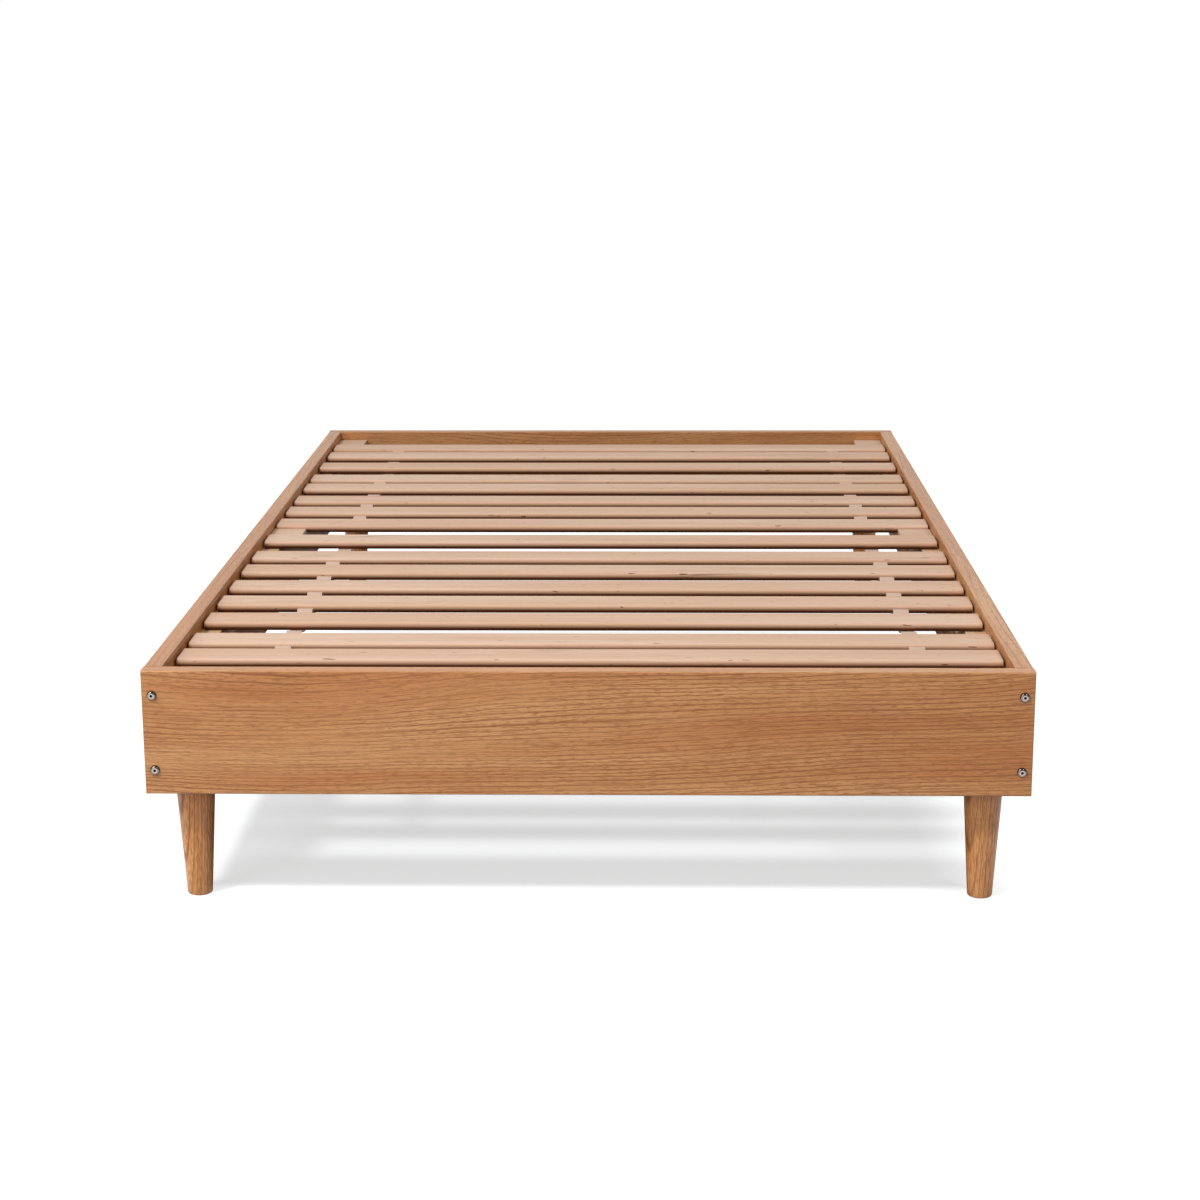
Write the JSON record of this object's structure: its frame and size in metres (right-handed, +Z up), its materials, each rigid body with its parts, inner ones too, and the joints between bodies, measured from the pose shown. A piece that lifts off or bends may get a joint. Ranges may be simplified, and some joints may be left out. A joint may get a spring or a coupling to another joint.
{
  "type": "bed base",
  "caption": "Low rectangular bed base: oak-look end panels and side rails on round tapered legs, with slats joined by tapes into roll-up mats that carry a mattress.",
  "frame": {"origin": "on the floor, under the middle of the bed", "axes": "+X to the right seen from the foot end, +Y along the bed towards the head end, +Z up"},
  "size_m": [1.26, 2.068, 0.352],
  "materials": {
    "oak": "clear satin lacquer on honey oak",
    "slat_wood": "planed softwood, unfinished",
    "raw_timber": "sawn softwood, unfinished",
    "tape": "woven flat tape",
    "steel": "zinc plated"
  },
  "bodies": {
    "frame": {"foot_panel": "oak", "head_panel": "oak", "left_rail": "oak", "right_rail": "oak", "foot_left_leg": "oak", "foot_right_leg": "oak", "head_left_leg": "oak", "head_right_leg": "oak", "left_ledger": "raw_timber", "right_ledger": "raw_timber", "foot_left_corner_block": "raw_timber", "foot_right_corner_block": "raw_timber", "head_left_corner_block": "raw_timber", "head_right_corner_block": "raw_timber", "corner_dowels": "raw_timber", "head_stop_blocks": "slat_wood", "middle_stop_blocks": "slat_wood", "leg_studs": "steel", "leg_inserts": "steel", "foot_frame_bolts": "steel", "head_frame_bolts": "steel", "barrel_nuts": "steel", "ledger_screws": "steel", "corner_block_screws": "steel", "slat_01": "slat_wood", "tape_01": "tape", "slat_16": "slat_wood", "tape_16": "tape"},
    "mat_slat_02": {"slat_02": "slat_wood", "tape_02": "tape"},
    "mat_slat_03": {"slat_03": "slat_wood", "tape_03": "tape"},
    "mat_slat_04": {"slat_04": "slat_wood", "tape_04": "tape"},
    "mat_slat_05": {"slat_05": "slat_wood", "tape_05": "tape"},
    "mat_slat_06": {"slat_06": "slat_wood", "tape_06": "tape"},
    "mat_slat_07": {"slat_07": "slat_wood", "tape_07": "tape"},
    "mat_slat_08": {"slat_08": "slat_wood", "tape_08": "tape"},
    "mat_slat_15": {"slat_15": "slat_wood", "tape_15": "tape"},
    "mat_slat_14": {"slat_14": "slat_wood", "tape_14": "tape"},
    "mat_slat_13": {"slat_13": "slat_wood", "tape_13": "tape"},
    "mat_slat_12": {"slat_12": "slat_wood", "tape_12": "tape"},
    "mat_slat_11": {"slat_11": "slat_wood", "tape_11": "tape"},
    "mat_slat_10": {"slat_10": "slat_wood", "tape_10": "tape"},
    "mat_slat_09": {"slat_09": "slat_wood", "tape_09": "tape"}
  },
  "joints": [
    {"name": "head_mat_fold_1", "type": "hinge", "parent": "frame", "child": "mat_slat_02", "pos_m": [0, 0.8325, 0.326], "axis": [-1, 0, 0], "range_deg": [0, 40]},
    {"name": "head_mat_fold_2", "type": "hinge", "parent": "mat_slat_02", "child": "mat_slat_03", "pos_m": [0, 0.721, 0.326], "axis": [-1, 0, 0], "range_deg": [0, 40]},
    {"name": "head_mat_fold_3", "type": "hinge", "parent": "mat_slat_03", "child": "mat_slat_04", "pos_m": [0, 0.58725, 0.326], "axis": [-1, 0, 0], "range_deg": [0, 40]},
    {"name": "head_mat_fold_4", "type": "hinge", "parent": "mat_slat_04", "child": "mat_slat_05", "pos_m": [0, 0.4685, 0.326], "axis": [-1, 0, 0], "range_deg": [0, 40]},
    {"name": "head_mat_fold_5", "type": "hinge", "parent": "mat_slat_05", "child": "mat_slat_06", "pos_m": [0, 0.356, 0.326], "axis": [-1, 0, 0], "range_deg": [0, 40]},
    {"name": "head_mat_fold_6", "type": "hinge", "parent": "mat_slat_06", "child": "mat_slat_07", "pos_m": [0, 0.2375, 0.326], "axis": [-1, 0, 0], "range_deg": [0, 40]},
    {"name": "head_mat_fold_7", "type": "hinge", "parent": "mat_slat_07", "child": "mat_slat_08", "pos_m": [0, 0.12525, 0.326], "axis": [-1, 0, 0], "range_deg": [0, 40]},
    {"name": "foot_mat_fold_1", "type": "hinge", "parent": "frame", "child": "mat_slat_15", "pos_m": [0, -0.8405, 0.326], "axis": [1, 0, 0], "range_deg": [0, 40]},
    {"name": "foot_mat_fold_2", "type": "hinge", "parent": "mat_slat_15", "child": "mat_slat_14", "pos_m": [0, -0.72975, 0.326], "axis": [1, 0, 0], "range_deg": [0, 40]},
    {"name": "foot_mat_fold_3", "type": "hinge", "parent": "mat_slat_14", "child": "mat_slat_13", "pos_m": [0, -0.608, 0.326], "axis": [1, 0, 0], "range_deg": [0, 40]},
    {"name": "foot_mat_fold_4", "type": "hinge", "parent": "mat_slat_13", "child": "mat_slat_12", "pos_m": [0, -0.49525, 0.326], "axis": [1, 0, 0], "range_deg": [0, 40]},
    {"name": "foot_mat_fold_5", "type": "hinge", "parent": "mat_slat_12", "child": "mat_slat_11", "pos_m": [0, -0.381, 0.326], "axis": [1, 0, 0], "range_deg": [0, 40]},
    {"name": "foot_mat_fold_6", "type": "hinge", "parent": "mat_slat_11", "child": "mat_slat_10", "pos_m": [0, -0.268, 0.326], "axis": [1, 0, 0], "range_deg": [0, 40]},
    {"name": "foot_mat_fold_7", "type": "hinge", "parent": "mat_slat_10", "child": "mat_slat_09", "pos_m": [0, -0.1445, 0.326], "axis": [1, 0, 0], "range_deg": [0, 40]}
  ]
}
